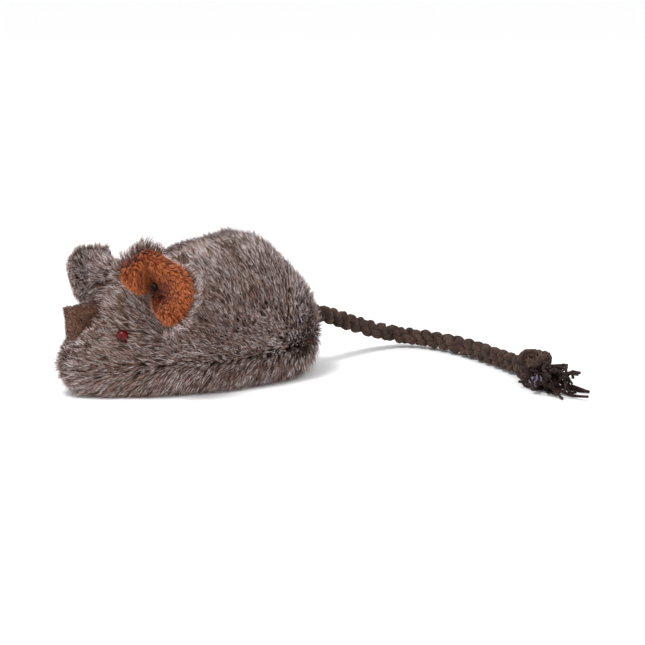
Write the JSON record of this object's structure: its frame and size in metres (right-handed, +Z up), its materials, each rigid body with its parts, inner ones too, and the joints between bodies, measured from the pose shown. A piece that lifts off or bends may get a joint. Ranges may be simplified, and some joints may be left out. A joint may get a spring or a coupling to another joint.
{
  "type": "clockwork plush mouse",
  "caption": "Plush mouse with folded ears, bead eyes, a felt nose and a knotted rope tail, over a wind-up motor on small wheels, wound by a side key.",
  "frame": {"origin": "on the floor, under the middle of the body (the free rope tail left out)", "axes": "+X towards the tail, along the body's longest side; -Y is the mouse's own left; +Z up, the body's shortest side"},
  "size_m": [0.1703, 0.1365, 0.0576],
  "materials": {
    "fur": "pile cloth with dark brown roots, taupe pile and pale grey tips",
    "ear_lining": "short rust orange plush",
    "felt": "brown felt with a fuzzy face",
    "bead": "polished deep red",
    "rope": "braided dark brown yarn",
    "core_fluff": "loose pale lavender fibre",
    "thread": "waxed dark thread",
    "wadding": "polyester fibre fill",
    "chassis_plastic": "moulded black",
    "steel": "nickel-plated",
    "spring_steel": "blued strip",
    "brass": "turned",
    "nylon": "moulded natural",
    "rubber": "matt"
  },
  "bodies": {
    "root": {"cover_left_panel": "fur", "cover_right_panel": "fur", "skirt_band": "fur", "ear_left_back": "fur", "ear_right_back": "fur", "ear_left_lining": "ear_lining", "ear_right_lining": "ear_lining", "nose_felt": "felt", "eye_left_bead": "bead", "eye_right_bead": "bead", "tail_rope": "rope", "tail_knot": "rope", "tail_tassel": "rope", "tail_core_tuft": "core_fluff", "tail_whipping": "thread", "head_stuffing": "wadding", "back_stuffing": "wadding", "rump_stuffing": "wadding", "base_plate": "chassis_plastic", "motor_frame_left": "steel", "motor_frame_right": "steel", "frame_pillar_1": "brass", "frame_screw_left_1": "steel", "frame_screw_right_1": "steel", "frame_pillar_2": "brass", "frame_screw_left_2": "steel", "frame_screw_right_2": "steel", "frame_pillar_3": "brass", "frame_screw_left_3": "steel", "frame_screw_right_3": "steel", "frame_pillar_4": "brass", "frame_screw_left_4": "steel", "frame_screw_right_4": "steel", "mainspring": "spring_steel"},
    "winding_set": {"winding_key": "steel", "spring_arbor": "steel", "great_gear": "brass"},
    "counter_set": {"counter_shaft": "steel", "counter_pinion": "brass", "counter_gear": "nylon"},
    "drive_set": {"drive_axle": "steel", "axle_pinion": "nylon", "drive_wheel_left": "nylon", "drive_wheel_right": "nylon", "drive_tyre_left": "rubber", "drive_tyre_right": "rubber"},
    "front_set": {"front_axle_pin": "steel", "front_wheel_left": "nylon", "front_wheel_right": "nylon"}
  },
  "joints": [
    {"name": "key_turn", "type": "hinge", "parent": "root", "child": "winding_set", "pos_m": [-0.00001, 0, 0.02419], "axis": [0, 1, 0], "continuous": true},
    {"name": "counter_spin", "type": "hinge", "parent": "root", "child": "counter_set", "pos_m": [0.01196, 0, 0.01795], "axis": [0, 1, 0], "continuous": true},
    {"name": "axle_spin", "type": "hinge", "parent": "root", "child": "drive_set", "pos_m": [0.018, 0, 0.009], "axis": [0, 1, 0], "continuous": true},
    {"name": "front_spin", "type": "hinge", "parent": "root", "child": "front_set", "pos_m": [-0.027, 0, 0.006], "axis": [0, 1, 0], "continuous": true}
  ],
  "couplings": [
    {"joint": "counter_spin", "follows": "key_turn", "ratio": -4},
    {"joint": "axle_spin", "follows": "key_turn", "ratio": 12}
  ]
}
